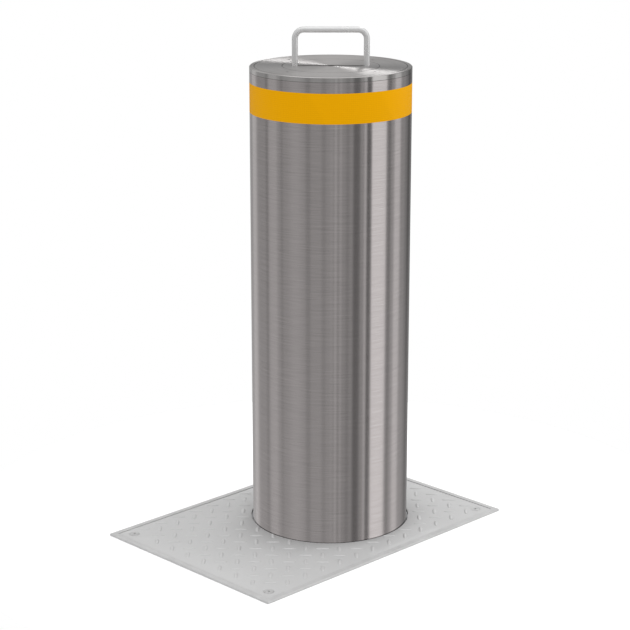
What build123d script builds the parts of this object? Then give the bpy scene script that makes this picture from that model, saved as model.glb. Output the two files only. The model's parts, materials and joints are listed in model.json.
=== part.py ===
from build123d import *
import math
import os

# Manually lowered street bollard: a gas-assisted telescopic post in a buried casing.
# Z = 0 is the paving surface, on the axis of the post. The post stands raised and unlocked.
# All sizes are in millimetres.

# --- post and stroke ---
POST_R = 136.5              # 273 mm steel tube
POST_WALL = 6.0
STROKE = 800.0              # the cap ends flush with the cover frame
COVER_TOP = 4.0             # cover frame above the paving
CAP_TOP = COVER_TOP + STROKE
CAP_T = 8.0                 # visible edge of the cap
CAP_RIM_W = 8.0             # rim around the cap plate
CAP_BASE_T = 12.0           # disc welded inside the tube's mouth
POST_BOTTOM = -262.0
POST_BORE_R = POST_R - POST_WALL
INSERT_R = POST_BORE_R - 0.2
BAND_DROP = 26.0            # cap top down to the band's upper edge
BAND_W = 50.0
BAND_T = 0.4

# --- buried casing ---
CASING_R = 161.95           # 323.9 mm steel tube
CASING_WALL = 5.0
CASING_BORE_R = CASING_R - CASING_WALL
CASING_TOP = -34.0
CASING_BOTTOM = -1112.0
BASE_SIDE = 420.0
BASE_T = 12.0
ANCHOR_PITCH = 360.0
ANCHOR_HOLE_R = 7.0
FLANGE_R = 185.0
FLANGE_T = 8.0

# --- cover frame and cover plate ---
FRAME_X0, FRAME_X1 = -340.0, 230.0
FRAME_Y = 200.0             # half width
RIM_W = 10.0
RIM_FOOT = 8.0              # width of the rim that rests on the paving
LEDGE_IN = 34.0             # outer edge of the frame to the ledge's inner edge
LEDGE_TOP = COVER_TOP - 5.5
LEDGE_T = 6.0
LUG_IN = 58.0
LUG_T = 16.0
PLATE_GAP = 1.0
PLATE_T = 5.0
PLATE_HOLE_R = 139.5
SCREW_IN = 30.0             # cover screws from the frame's outer edges
BOX_WALL = 3.0
BOX_FLOOR = -120.0

# --- guides and stops ---
GUIDE_R = POST_R + 0.5
GUIDE_BOTTOM = -92.0
GUIDE_FLANGE_T = 6.0
SEAL_T = 3.0
SEAL_R = POST_R + 0.35
RETAINER_T = 2.0
GUIDE_SCREW_R = 174.0
GUIDE_SCREWS = 6
STOP_TOP = -184.0
STOP_T = 12.0
STOP_BUFFER_T = 8.0
RUN_GAP = 0.3               # gap left at each end stop
COLLAR_TOP = STOP_TOP - STOP_T - STOP_BUFFER_T - RUN_GAP
COLLAR_R = 150.0
SHOE_R = CASING_BORE_R - 0.5
SHOE_ARC = 50.0
RAIL_IN = 142.0
RAIL_W = 20.0
RAIL_TOP = COLLAR_TOP - 2.0
BUFFER_R = 25.0

# --- gas springs ---
GAS_X = 85.0                # each side of the axis
GAS_R = 20.0
GAS_BORE_R = 17.0
GAS_BOTTOM = -1085.0
GAS_TOP = -185.0
GAS_PIN_Z = -1097.0
GAS_PIN_R = 6.0
ROD_R = 7.0
PISTON_Z = -255.0
HEAD_Z = 650.0
HEAD_T = 12.0

# --- lock ---
BOLT_Z = -228.0
BOLT_R = 12.0
BOLT_TAIL = 17.0
BOLT_TIP = 149.0
BOLT_TRAVEL = 24.0          # for a quarter turn of the key
PIN_START = 28.0            # follower pin from the axis, bolts drawn in
PIN_R = 4.0
CAM_R = 62.5
CAM_TOP = -242.0
CAM_T = 8.0
BEAM_TOP = -252.0
BEAM_W = 60.0
SHAFT_R = 6.0
KEEPER_OUT = 186.0
KEEPER_HOLE_R = 13.0

# --- lifting handle ---
HANDLE_ANGLE = -45.0        # direction of the grip bar in plan
HANDLE_HALF = 60.0
HANDLE_R = 5.0
HANDLE_RISE = 60.0          # centre of the grip bar above the cap
HANDLE_BEND = 15.0
HANDLE_FOOT = CAP_TOP - 53.0
BUSH_LENGTH = 18.0
POCKET_IN = 42.0            # pockets that clear the bends of the lowered handle
GROOVE_W = 11.0
GROOVE_DEPTH = 10.5
HANDLE_PLATE_R = 81.5
CAP_SCREW_R = 101.0
HOUSING_SCREW_X = 32.0

# --- drain ---
DRAIN_Z = -1078.0
DRAIN_R = 25.0
DRAIN_BORE_R = 22.0
DRAIN_END = 280.0
DRAIN_COLLAR_R = 29.0
DRAIN_COLLAR_END = 214.0    # the pipe is free beyond its weld collar

UP = (Align.CENTER, Align.CENTER, Align.MIN)


def disc(radius, z0, z1, x=0.0, y=0.0):
    """Upright cylinder between two heights."""
    return Pos(x, y, z0) * Cylinder(radius, z1 - z0, align=UP)


def ring(outer, inner, z0, z1):
    """Flat ring or tube about the axis."""
    return disc(outer, z0, z1) - disc(inner, z0 - 1, z1 + 1)


def block(x0, x1, y0, y1, z0, z1):
    """Box between two corners."""
    centre = Pos((x0 + x1) / 2, (y0 + y1) / 2, (z0 + z1) / 2)
    return centre * Box(x1 - x0, y1 - y0, z1 - z0)


def bar_y(radius, y0, y1, x, z):
    """Round bar that lies along Y."""
    return Pos(x, (y0 + y1) / 2, z) * Rot(90, 0, 0) * Cylinder(radius, abs(y1 - y0))


def polar(radius, degrees):
    """Point on a circle about the axis."""
    return radius * math.cos(math.radians(degrees)), radius * math.sin(math.radians(degrees))


def around(solid, angles):
    """Copies of a solid turned about the axis, kept as separate solids."""
    return Compound([Rot(0, 0, angle) * solid for angle in angles])


def group(solids):
    """Identical pieces that share one node."""
    return Compound(list(solids))


def countersink(radius, shank, top):
    """Conical seat of a flat-headed screw, as a cutter."""
    depth = radius - shank
    return Pos(0, 0, top - depth) * Cone(shank, radius, depth, align=UP)


def flat_screw(head_r, shank_r, top, length, socket):
    """Flat-headed screw with a hexagon socket."""
    head = countersink(head_r, shank_r, top)
    screw = head + disc(shank_r, top - length, top - (head_r - shank_r))
    hexagon = extrude(Plane.XY.offset(top - socket * 0.6) * RegularPolygon(socket / 2, 6), socket)
    return screw - hexagon


def cap_screw(head_r, head_t, shank_r, seat, length):
    """Round-headed screw that stands on a seat."""
    return disc(head_r, seat, seat + head_t) + disc(shank_r, seat - length, seat)


def frame_outline(inset, z0, z1):
    """Rectangular prism a given distance inside the frame's outer edge."""
    return block(FRAME_X0 + inset, FRAME_X1 - inset, -FRAME_Y + inset, FRAME_Y - inset, z0, z1)


def corner_points(inset):
    """The four corner places at a given distance inside the frame's outer edge."""
    xs = (FRAME_X0 + inset, FRAME_X1 - inset)
    ys = (-FRAME_Y + inset, FRAME_Y - inset)
    return [(x, y) for x in xs for y in ys]


# ---------------------------------------------------------------- casing

def casing_tube():
    tube = ring(CASING_R, CASING_BORE_R, CASING_BOTTOM, CASING_TOP)
    reach = CASING_R + 5
    for z in (BOLT_Z, BOLT_Z - STROKE):
        tube -= bar_y(KEEPER_HOLE_R, -reach, reach, 0, z)
    return tube - bar_y(DRAIN_BORE_R, -reach, 0, 0, DRAIN_Z)


def casing_base():
    half = BASE_SIDE / 2
    base = block(-half, half, -half, half, CASING_BOTTOM - BASE_T, CASING_BOTTOM)
    for x in (-ANCHOR_PITCH / 2, ANCHOR_PITCH / 2):
        for y in (-ANCHOR_PITCH / 2, ANCHOR_PITCH / 2):
            base -= disc(ANCHOR_HOLE_R, CASING_BOTTOM - BASE_T - 1, CASING_BOTTOM + 1, x, y)
    return base


def base_gussets():
    height, reach, half = 70.0, 44.0, 4.0
    outline = Polyline(
        (CASING_R - 2, CASING_BOTTOM), (CASING_R + reach, CASING_BOTTOM),
        (CASING_R + reach, CASING_BOTTOM + 10), (CASING_R + 8, CASING_BOTTOM + height),
        (CASING_R - 2, CASING_BOTTOM + height), close=True)
    gusset = extrude(Plane.XZ * make_face(outline), half, both=True)
    gusset -= disc(CASING_R, CASING_BOTTOM - 1, CASING_BOTTOM + height + 1)
    return around(gusset, (45, 135, 225, 315))


def anchor_bars():
    radius, level, reach, rise, bend = 6.0, -620.0, 72.0, 130.0, 26.0
    path = FilletPolyline((CASING_R, 0, level), (CASING_R + reach, 0, level),
                          (CASING_R + reach, 0, level + rise), radius=bend)
    section = Plane(origin=(CASING_R, 0, level), z_dir=(1, 0, 0)) * Circle(radius)
    bar = sweep(section, path=path) - disc(CASING_R, level - 20, level + 20)
    return around(bar, (45, 135, 225, 315))


def drain_spigot():
    pipe = bar_y(DRAIN_R, -DRAIN_END, -CASING_R + 6, 0, DRAIN_Z)
    pipe += bar_y(DRAIN_COLLAR_R, -DRAIN_COLLAR_END, -CASING_R + 10, 0, DRAIN_Z)
    pipe -= bar_y(DRAIN_BORE_R, -DRAIN_END - 1, 0, 0, DRAIN_Z)
    return pipe - disc(CASING_R, DRAIN_Z - DRAIN_COLLAR_R - 1, DRAIN_Z + DRAIN_COLLAR_R + 1)


def drain_strainer():
    near, far = -DRAIN_END + 12, -DRAIN_END + 15
    plate = bar_y(DRAIN_BORE_R - 0.2, near, far, 0, DRAIN_Z)
    for radius, count in ((0, 1), (7.5, 6), (15, 12)):
        for i in range(count):
            x, z = polar(radius, 360 * i / count)
            plate -= bar_y(2.5, near - 1, far + 1, x, DRAIN_Z + z)
    return plate


def casing_flange():
    flange = ring(FLANGE_R, CASING_BORE_R, CASING_TOP, CASING_TOP + FLANGE_T)
    for i in range(GUIDE_SCREWS):
        x, y = polar(GUIDE_SCREW_R, 60 * i + 30)
        flange -= disc(4.05, CASING_TOP - 1, CASING_TOP + FLANGE_T + 1, x, y)
    return flange


def top_box():
    top = LEDGE_TOP - LEDGE_T
    walls = frame_outline(RIM_FOOT, BOX_FLOOR, top)
    walls -= frame_outline(RIM_FOOT + BOX_WALL, BOX_FLOOR + BOX_WALL, top + 1)
    return walls - disc(CASING_R + 0.3, BOX_FLOOR - 1, BOX_FLOOR + BOX_WALL + 1)


def cover_frame():
    rim = frame_outline(0, 0, COVER_TOP) - frame_outline(RIM_W, -1, COVER_TOP + 1)
    rim = chamfer(rim.faces().sort_by(Axis.Z)[-1].outer_wire().edges(), 0.8)
    low = LEDGE_TOP - LEDGE_T
    rim += frame_outline(RIM_FOOT, low, COVER_TOP - 1) - frame_outline(RIM_W, low - 1, COVER_TOP)
    ledge = frame_outline(RIM_FOOT, low, LEDGE_TOP) - frame_outline(LEDGE_IN, low - 1, COVER_TOP)
    ledge += [lug(x, y) for x, y in corner_points((RIM_FOOT + BOX_WALL + LUG_IN) / 2)]
    frame = rim + ledge
    for x, y in corner_points(SCREW_IN):
        frame -= disc(4.1, LEDGE_TOP - LUG_T - 1, LEDGE_TOP + 1, x, y)
    return frame


def lug(x, y):
    """Thick corner pad of the ledge, tapped for a cover screw."""
    half = (LUG_IN - RIM_FOOT - BOX_WALL) / 2
    return block(x - half, x + half, y - half, y + half, LEDGE_TOP - LUG_T, LEDGE_TOP)


def cover_plate():
    top = LEDGE_TOP + PLATE_T
    plate = frame_outline(RIM_W + PLATE_GAP, LEDGE_TOP, top)
    plate -= disc(PLATE_HOLE_R, LEDGE_TOP - 1, top + 1)
    seat = countersink(8.3, 4.3, top) + disc(4.3, LEDGE_TOP - 1, top)
    for x, y in corner_points(SCREW_IN):
        plate -= Pos(x, y, 0) * seat
    return plate


def cover_screws():
    top = LEDGE_TOP + PLATE_T
    screw = flat_screw(8.0, 4.0, top, 20.0, 5.0)
    return group(Pos(x, y, 0) * screw for x, y in corner_points(SCREW_IN))


def upper_guide_ring():
    top = CASING_TOP + FLANGE_T + GUIDE_FLANGE_T
    sleeve = ring(CASING_BORE_R - 0.2, GUIDE_R, GUIDE_BOTTOM, top)
    guide = sleeve + ring(FLANGE_R - 1, GUIDE_R, top - GUIDE_FLANGE_T, top)
    return guide_holes(guide)


def guide_holes(part):
    """Clearance holes of the ring of screws that clamps guide, seal and retainer."""
    for i in range(GUIDE_SCREWS):
        x, y = polar(GUIDE_SCREW_R, 60 * i + 30)
        part -= disc(4.3, CASING_TOP, COVER_TOP, x, y)
    return part


def wiper_seal():
    low = CASING_TOP + FLANGE_T + GUIDE_FLANGE_T
    return guide_holes(ring(FLANGE_R - 1, SEAL_R, low, low + SEAL_T))


def wiper_retainer():
    low = CASING_TOP + FLANGE_T + GUIDE_FLANGE_T + SEAL_T
    return guide_holes(ring(FLANGE_R - 1, POST_R + 4.5, low, low + RETAINER_T))


def guide_screws():
    seat = CASING_TOP + FLANGE_T + GUIDE_FLANGE_T + SEAL_T + RETAINER_T
    screw = cap_screw(6.5, 3.0, 4.0, seat, 26.0)
    return around(Pos(GUIDE_SCREW_R, 0, 0) * screw, [60 * i + 30 for i in range(GUIDE_SCREWS)])


def stop_ring():
    return ring(CASING_BORE_R, POST_R + 2.5, STOP_TOP - STOP_T, STOP_TOP)


def stop_buffer():
    low = STOP_TOP - STOP_T - STOP_BUFFER_T
    return ring(CASING_BORE_R - 0.5, POST_R + 3, low, STOP_TOP - STOP_T)


def guide_rails():
    rail = block(RAIL_IN, CASING_R, -RAIL_W / 2, RAIL_W / 2, CASING_BOTTOM + 4, RAIL_TOP)
    rail &= disc(CASING_BORE_R, CASING_BOTTOM, CASING_TOP)
    return around(rail, (0, 180))


def keeper(level):
    """Block on the outside of the casing that takes the tip of a lock bolt."""
    body = block(-24, 24, CASING_R - 8, KEEPER_OUT, level - 20, level + 20)
    body -= disc(CASING_R, level - 21, level + 21)
    return body - bar_y(KEEPER_HOLE_R, CASING_R - 10, KEEPER_OUT - 6, 0, level)


def buffer_stops():
    top = POST_BOTTOM - STROKE - RUN_GAP
    puck = Pos(0, 0, CASING_BOTTOM) * Cone(BUFFER_R, BUFFER_R - 7, top - CASING_BOTTOM, align=UP)
    return around(Pos(128, 0, 0) * puck, (45, 135, 225, 315))


def both_gas(solid):
    """Copies of a solid on both gas springs."""
    return group(Pos(x, 0, 0) * solid for x in (-GAS_X, GAS_X))


def gas_cylinders():
    body = disc(GAS_R, GAS_BOTTOM, GAS_TOP) - disc(GAS_BORE_R, GAS_BOTTOM + 8, GAS_TOP + 1)
    eye = block(-12, 12, -8, 8, GAS_PIN_Z - 9, GAS_BOTTOM)
    eye -= bar_y(GAS_PIN_R + 0.1, -9, 9, 0, GAS_PIN_Z)
    return both_gas(body + eye)


def cylinder_glands():
    gland = ring(GAS_BORE_R - 0.05, ROD_R + 0.1, GAS_TOP - 22, GAS_TOP - 2)
    return both_gas(gland)


def cylinder_brackets():
    channel = block(-15, 15, -14.5, 14.5, CASING_BOTTOM, GAS_PIN_Z + 11)
    channel -= block(-16, 16, -8.5, 8.5, CASING_BOTTOM + 3, GAS_PIN_Z + 12)
    channel -= bar_y(GAS_PIN_R + 0.1, -16, 16, 0, GAS_PIN_Z)
    return both_gas(channel)


def cylinder_pins():
    return both_gas(bar_y(GAS_PIN_R, -18, 18, 0, GAS_PIN_Z))


# ---------------------------------------------------------------- post

def post_tube():
    tube = ring(POST_R, POST_BORE_R, POST_BOTTOM, CAP_TOP - CAP_T)
    band_top = CAP_TOP - BAND_DROP
    tube -= ring(POST_R + 1, POST_R - BAND_T, band_top - BAND_W, band_top)
    return tube - bar_y(BOLT_R + 0.5, -POST_R - 5, POST_R + 5, 0, BOLT_Z)


def reflective_band():
    band_top = CAP_TOP - BAND_DROP
    return ring(POST_R, POST_R - BAND_T, band_top - BAND_W, band_top)


def handle_frame():
    """Local X runs along the grip bar."""
    return Rot(0, 0, HANDLE_ANGLE)


def groove(z0, z1):
    """Cutter of the recess that swallows the lowered grip bar."""
    half = GROOVE_W / 2
    straight = block(-HANDLE_HALF, HANDLE_HALF, -half, half, z0, z1)
    ends = disc(half, z0, z1, HANDLE_HALF) + disc(half, z0, z1, -HANDLE_HALF)
    return handle_frame() * (straight + ends)


def bend_pocket(z0, z1):
    """Cutter that clears one bend of the lowered handle."""
    half = GROOVE_W / 2
    return block(POCKET_IN, HANDLE_HALF, -half, half, z0, z1) + disc(half, z0, z1, HANDLE_HALF)


def cap_base():
    seat = CAP_TOP - CAP_T
    low = seat - CAP_BASE_T
    base = disc(INSERT_R, low, seat) + ring(POST_R, POST_R - CAP_RIM_W, seat, CAP_TOP)
    outer = base.edges().filter_by(GeomType.CIRCLE).group_by(Axis.Z)[-1].sort_by(SortBy.RADIUS)[-1]
    base = chamfer(outer, 1.0)
    base -= groove(CAP_TOP - GROOVE_DEPTH, CAP_TOP)
    base -= disc(SHAFT_R + 0.4, low - 1, CAP_TOP)
    floor = CAP_TOP - GROOVE_DEPTH
    seat_cut = countersink(4.7, 3.2, floor) + disc(3.2, low - 1, floor)
    for side in (0, 180):
        base -= handle_frame() * Rot(0, 0, side) * bend_pocket(low - 1, CAP_TOP)
        base -= handle_frame() * Rot(0, 0, side) * Pos(HOUSING_SCREW_X, 0, 0) * seat_cut
    for angle in (0, 90, 180, 270):
        x, y = polar(CAP_SCREW_R, angle)
        base -= disc(4.1, low - 1, CAP_TOP, x, y)
    return base


def cap_plate():
    seat = CAP_TOP - CAP_T
    plate = ring(POST_R - CAP_RIM_W - 0.2, HANDLE_PLATE_R + 0.3, seat, CAP_TOP)
    plate = chamfer(plate.edges().filter_by(GeomType.CIRCLE).group_by(Axis.Z)[-1], 0.6)
    cutter = countersink(8.2, 4.3, CAP_TOP) + disc(4.3, seat - 1, CAP_TOP)
    for angle in (0, 90, 180, 270):
        x, y = polar(CAP_SCREW_R, angle)
        plate -= Pos(x, y, 0) * cutter
    return plate


def handle_plate():
    seat = CAP_TOP - CAP_T
    plate = disc(HANDLE_PLATE_R, seat, CAP_TOP)
    plate = chamfer(plate.edges().filter_by(GeomType.CIRCLE).group_by(Axis.Z)[-1], 0.6)
    return plate - groove(seat - 1, CAP_TOP + 1) - disc(SHAFT_R + 0.8, seat - 1, CAP_TOP + 1)


def cap_screws():
    screw = flat_screw(8.0, 4.0, CAP_TOP, 19.0, 5.0)
    return around(Pos(CAP_SCREW_R, 0, 0) * screw, (0, 90, 180, 270))


def handle_bushes():
    top = CAP_TOP - CAP_T - CAP_BASE_T
    bush = ring(9.0, HANDLE_R + 0.06, top - BUSH_LENGTH, top)
    bush += ring(13.5, HANDLE_R + 0.06, top - 4, top)
    return handle_frame() * group(Pos(side * HANDLE_HALF, 0, 0) * bush for side in (-1, 1))


def lock_housing():
    top = CAP_TOP - CAP_T - CAP_BASE_T
    ear = block(-42, 42, -13, 13, top - 8, top)
    housing = handle_frame() * ear + disc(14.0, top - 24, top)
    housing -= disc(SHAFT_R + 0.06, top - 25, top + 1)
    for side in (-1, 1):
        housing -= handle_frame() * disc(3.05, top - 9, top + 1, side * HOUSING_SCREW_X)
    return housing


def housing_screws():
    screw = flat_screw(4.5, 3.0, CAP_TOP - GROOVE_DEPTH - 0.1, 17.0, 2.5)
    return handle_frame() * group(Pos(s * HOUSING_SCREW_X, 0, 0) * screw for s in (-1, 1))


def head_plate():
    plate = disc(INSERT_R, HEAD_Z, HEAD_Z + HEAD_T)
    plate -= disc(SHAFT_R + 4, HEAD_Z - 1, HEAD_Z + HEAD_T + 1)
    for x in (-GAS_X, GAS_X):
        plate -= disc(ROD_R - 0.9, HEAD_Z - 1, HEAD_Z + HEAD_T + 1, x)
    return plate


def gas_rods():
    rod = disc(GAS_BORE_R - 0.3, PISTON_Z - 15, PISTON_Z) + disc(ROD_R, PISTON_Z, HEAD_Z)
    return both_gas(rod + disc(ROD_R - 1, HEAD_Z, HEAD_Z + HEAD_T + 14))


def rod_nuts():
    low = HEAD_Z + HEAD_T
    nut = extrude(Plane.XY.offset(low) * RegularPolygon(9.5, 6, major_radius=False), 10)
    return both_gas(nut - disc(ROD_R - 0.9, low - 1, low + 11))


def lower_collar():
    collar = ring(COLLAR_R, POST_R, POST_BOTTOM, COLLAR_TOP)
    notch = block(RAIL_IN - 1, COLLAR_R + 2, -RAIL_W / 2 - 1.5, RAIL_W / 2 + 1.5,
                  POST_BOTTOM - 1, COLLAR_TOP + 1)
    collar = collar - notch - Rot(0, 0, 180) * notch
    return collar - bar_y(BOLT_R + 0.5, -COLLAR_R - 5, COLLAR_R + 5, 0, BOLT_Z)


def guide_shoes():
    low, high = POST_BOTTOM + 7, COLLAR_TOP - 8
    length = 2 * SHOE_R
    half = SHOE_ARC / 2
    edges = [polar(length, -half), polar(length, half)]
    wedge = extrude(Plane.XY.offset(low) * make_face(Polyline((0, 0), *edges, close=True)), high - low)
    shoe = ring(SHOE_R, COLLAR_R, low, high) & wedge
    return around(shoe, (45, 135, 225, 315))


def lock_beam():
    """Bar across the tube's lower end that carries the cam and the bolt guides."""
    beam = block(-BEAM_W / 2, BEAM_W / 2, -POST_R, POST_R, POST_BOTTOM, BEAM_TOP)
    return (beam & disc(INSERT_R, POST_BOTTOM, BEAM_TOP)) - disc(10.0, POST_BOTTOM - 1, BEAM_TOP + 1)


def shaft_bush():
    return ring(9.95, SHAFT_R + 0.06, POST_BOTTOM, BEAM_TOP)


def cam_washer():
    return ring(22.0, SHAFT_R + 0.3, BEAM_TOP, CAM_TOP - CAM_T - RUN_GAP)


def bolt_guides():
    guide = block(-22, 22, 92, POST_BORE_R, BEAM_TOP, BOLT_Z + 18)
    guide &= disc(INSERT_R, BEAM_TOP - 1, BOLT_Z + 20)
    guide -= bar_y(BOLT_R + 0.08, 90, POST_R, 0, BOLT_Z)
    return around(guide, (0, 180))


# ---------------------------------------------------------------- handle

def lift_handle():
    top = CAP_TOP + HANDLE_RISE
    path = FilletPolyline((-HANDLE_HALF, 0, HANDLE_FOOT), (-HANDLE_HALF, 0, top),
                          (HANDLE_HALF, 0, top), (HANDLE_HALF, 0, HANDLE_FOOT), radius=HANDLE_BEND)
    section = Plane(origin=(-HANDLE_HALF, 0, HANDLE_FOOT), z_dir=(0, 0, 1)) * Circle(HANDLE_R)
    return handle_frame() * sweep(section, path=path)


def handle_stops():
    top = CAP_TOP - CAP_T - CAP_BASE_T - BUSH_LENGTH - RUN_GAP
    collar = ring(9.0, HANDLE_R + 0.02, top - 10, top)
    return handle_frame() * group(Pos(side * HANDLE_HALF, 0, 0) * collar for side in (-1, 1))


# ---------------------------------------------------------------- lock

def lock_barrel():
    top = CAP_TOP - GROOVE_DEPTH - 0.5
    neck = CAP_TOP - CAP_T - CAP_BASE_T + 1
    barrel = disc(SHAFT_R, top - 57, top) + disc(SHAFT_R + 0.3, neck, top)
    socket = Plane.XY.offset(top - 8) * RegularPolygon(4.2, 3)
    return barrel - extrude(socket, 10)


def lock_shaft():
    return disc(SHAFT_R, POST_BOTTOM, CAP_TOP - GROOVE_DEPTH - 59)


def shaft_coupler():
    join = CAP_TOP - GROOVE_DEPTH - 58
    return ring(10.0, SHAFT_R + 0.02, join - 18, join + 12)


def cam_slot():
    """Spiral slot: the follower pin moves out evenly as the cam turns."""
    low, high = CAM_TOP - CAM_T - 1, CAM_TOP + 1
    half = PIN_R + 0.9
    steps = [-14 + 11.2 * i for i in range(11)]

    def edge(offset):
        radii = [PIN_START + BOLT_TRAVEL * turn / 90 + offset for turn in steps]
        return [polar(radius, 90 - turn) for radius, turn in zip(radii, steps)]

    outer, inner = edge(half), edge(-half)
    outline = [Spline(*outer), Line(outer[-1], inner[-1]), Spline(*inner), Line(inner[0], outer[0])]
    return extrude(Plane.XY.offset(low) * make_face(outline), high - low)


def lock_cam():
    cam = disc(CAM_R, CAM_TOP - CAM_T, CAM_TOP) + disc(12.0, CAM_TOP, CAM_TOP + 8)
    cam -= disc(SHAFT_R + 0.02, CAM_TOP - CAM_T - 1, CAM_TOP + 10)
    slot = cam_slot()
    return cam - slot - Rot(0, 0, 180) * slot


def lock_bolt(angle):
    """Radial bolt with its tail over the cam."""
    bolt = bar_y(BOLT_R, BOLT_TAIL, BOLT_TIP, 0, BOLT_Z)
    bolt = chamfer(bolt.edges().sort_by(Axis.Y)[-1], 2.0)
    bolt -= disc(PIN_R + 0.02, BOLT_Z - BOLT_R - 1, BOLT_Z, 0, PIN_START)
    return Rot(0, 0, angle) * bolt


def bolt_pin(angle):
    """Follower pin that hangs from the bolt into the cam's slot."""
    pin = disc(PIN_R, CAM_TOP - CAM_T + 1, BOLT_Z - 0.1, 0, PIN_START)
    return Rot(0, 0, angle) * pin


def build():
    """Every node of the bollard, by name."""
    return {
        "casing_tube": casing_tube(),
        "casing_base": casing_base(),
        "base_gussets": base_gussets(),
        "anchor_bars": anchor_bars(),
        "drain_spigot": drain_spigot(),
        "drain_strainer": drain_strainer(),
        "casing_flange": casing_flange(),
        "top_box": top_box(),
        "cover_frame": cover_frame(),
        "cover_plate": cover_plate(),
        "cover_screws": cover_screws(),
        "upper_guide_ring": upper_guide_ring(),
        "wiper_seal": wiper_seal(),
        "wiper_retainer": wiper_retainer(),
        "guide_screws": guide_screws(),
        "stop_ring": stop_ring(),
        "stop_buffer": stop_buffer(),
        "guide_rails": guide_rails(),
        "upper_keepers": around(keeper(BOLT_Z), (0, 180)),
        "lower_keepers": around(keeper(BOLT_Z - STROKE), (0, 180)),
        "buffer_stops": buffer_stops(),
        "gas_cylinders": gas_cylinders(),
        "cylinder_glands": cylinder_glands(),
        "cylinder_brackets": cylinder_brackets(),
        "cylinder_pins": cylinder_pins(),
        "post_tube": post_tube(),
        "reflective_band": reflective_band(),
        "cap_base": cap_base(),
        "cap_plate": cap_plate(),
        "handle_plate": handle_plate(),
        "cap_screws": cap_screws(),
        "handle_bushes": handle_bushes(),
        "lock_housing": lock_housing(),
        "housing_screws": housing_screws(),
        "head_plate": head_plate(),
        "gas_rods": gas_rods(),
        "rod_nuts": rod_nuts(),
        "lower_collar": lower_collar(),
        "guide_shoes": guide_shoes(),
        "lock_beam": lock_beam(),
        "shaft_bush": shaft_bush(),
        "cam_washer": cam_washer(),
        "bolt_guides": bolt_guides(),
        "lift_handle": lift_handle(),
        "handle_stops": handle_stops(),
        "lock_barrel": lock_barrel(),
        "lock_shaft": lock_shaft(),
        "shaft_coupler": shaft_coupler(),
        "lock_cam": lock_cam(),
        "bolt_a": lock_bolt(0),
        "bolt_a_pin": bolt_pin(0),
        "bolt_b": lock_bolt(180),
        "bolt_b_pin": bolt_pin(180),
    }


if __name__ == "__main__":
    os.makedirs("parts", exist_ok=True)
    for name, shape in build().items():
        export_step(shape, f"parts/{name}.step")
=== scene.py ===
"""Street bollard that slides down into its buried casing.

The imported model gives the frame. This script dresses every node, replaces the surfaces that need a
finer shape than the frame holds, and sets the floor, the light and the camera. Lengths are metres.
"""

import json
import logging
import math
from dataclasses import dataclass, field
from enum import Enum
from typing import Any, Dict, Iterable, List, Optional, Sequence, Tuple, Union

import bmesh
import bpy
import numpy as np
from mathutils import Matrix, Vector

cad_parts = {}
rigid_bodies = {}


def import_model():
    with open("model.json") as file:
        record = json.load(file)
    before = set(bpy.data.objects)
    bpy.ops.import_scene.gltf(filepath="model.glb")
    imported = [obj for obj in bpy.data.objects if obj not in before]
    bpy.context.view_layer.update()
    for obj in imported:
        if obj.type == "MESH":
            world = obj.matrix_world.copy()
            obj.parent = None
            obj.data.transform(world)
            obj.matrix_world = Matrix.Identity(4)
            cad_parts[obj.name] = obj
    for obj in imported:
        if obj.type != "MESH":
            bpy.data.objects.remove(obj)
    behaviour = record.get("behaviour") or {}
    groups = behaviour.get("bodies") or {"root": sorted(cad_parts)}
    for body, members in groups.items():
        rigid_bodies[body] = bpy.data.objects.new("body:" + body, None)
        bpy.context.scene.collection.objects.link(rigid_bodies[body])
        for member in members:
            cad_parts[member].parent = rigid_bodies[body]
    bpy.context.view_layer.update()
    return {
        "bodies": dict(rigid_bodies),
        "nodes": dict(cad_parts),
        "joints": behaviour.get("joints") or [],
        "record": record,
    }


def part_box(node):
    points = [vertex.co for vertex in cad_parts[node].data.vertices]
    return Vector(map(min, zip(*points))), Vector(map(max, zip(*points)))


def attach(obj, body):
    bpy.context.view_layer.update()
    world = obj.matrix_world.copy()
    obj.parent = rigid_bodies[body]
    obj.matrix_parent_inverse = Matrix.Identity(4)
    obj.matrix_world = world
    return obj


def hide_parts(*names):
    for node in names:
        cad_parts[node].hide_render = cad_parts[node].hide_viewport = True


LOG = logging.getLogger("bollard")
MM = 0.001
DOUBLES = 0.001 * MM
GRAIN_DEPTH = 0.0002
DIAGONAL = 1.0 / math.sqrt(2.0)
TO_DEGREES = 180.0 / math.pi
ROUND_BRUSHING = {"Anisotropic": 1.0, "Anisotropic Rotation": 0.25}

Colour = Tuple[float, float, float]
Value = Union["Sock", float, int, Sequence[float]]


class Body(Enum):
    """Rigid bodies of the bollard."""

    CASING = "casing"
    POST = "post"
    HANDLE = "handle"


class Slot(Enum):
    """Material slots of the record."""

    TUBE = "tube_stainless"
    CAP = "cap_stainless"
    HANDLE = "handle_stainless"
    SCREW = "screw_steel"
    TREAD = "tread_alloy"
    FRAME = "frame_alloy"
    BAND = "reflective_yellow"
    GALVANISED = "galvanised_steel"
    PLAIN = "plain_steel"
    PAINT = "black_paint"
    CHROME = "rod_chrome"
    POLYMER = "guide_polymer"
    RUBBER = "black_rubber"
    BRONZE = "bush_bronze"
    BRASS = "lock_brass"


# ------------------------------------------------------------------ shader arithmetic


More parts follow.
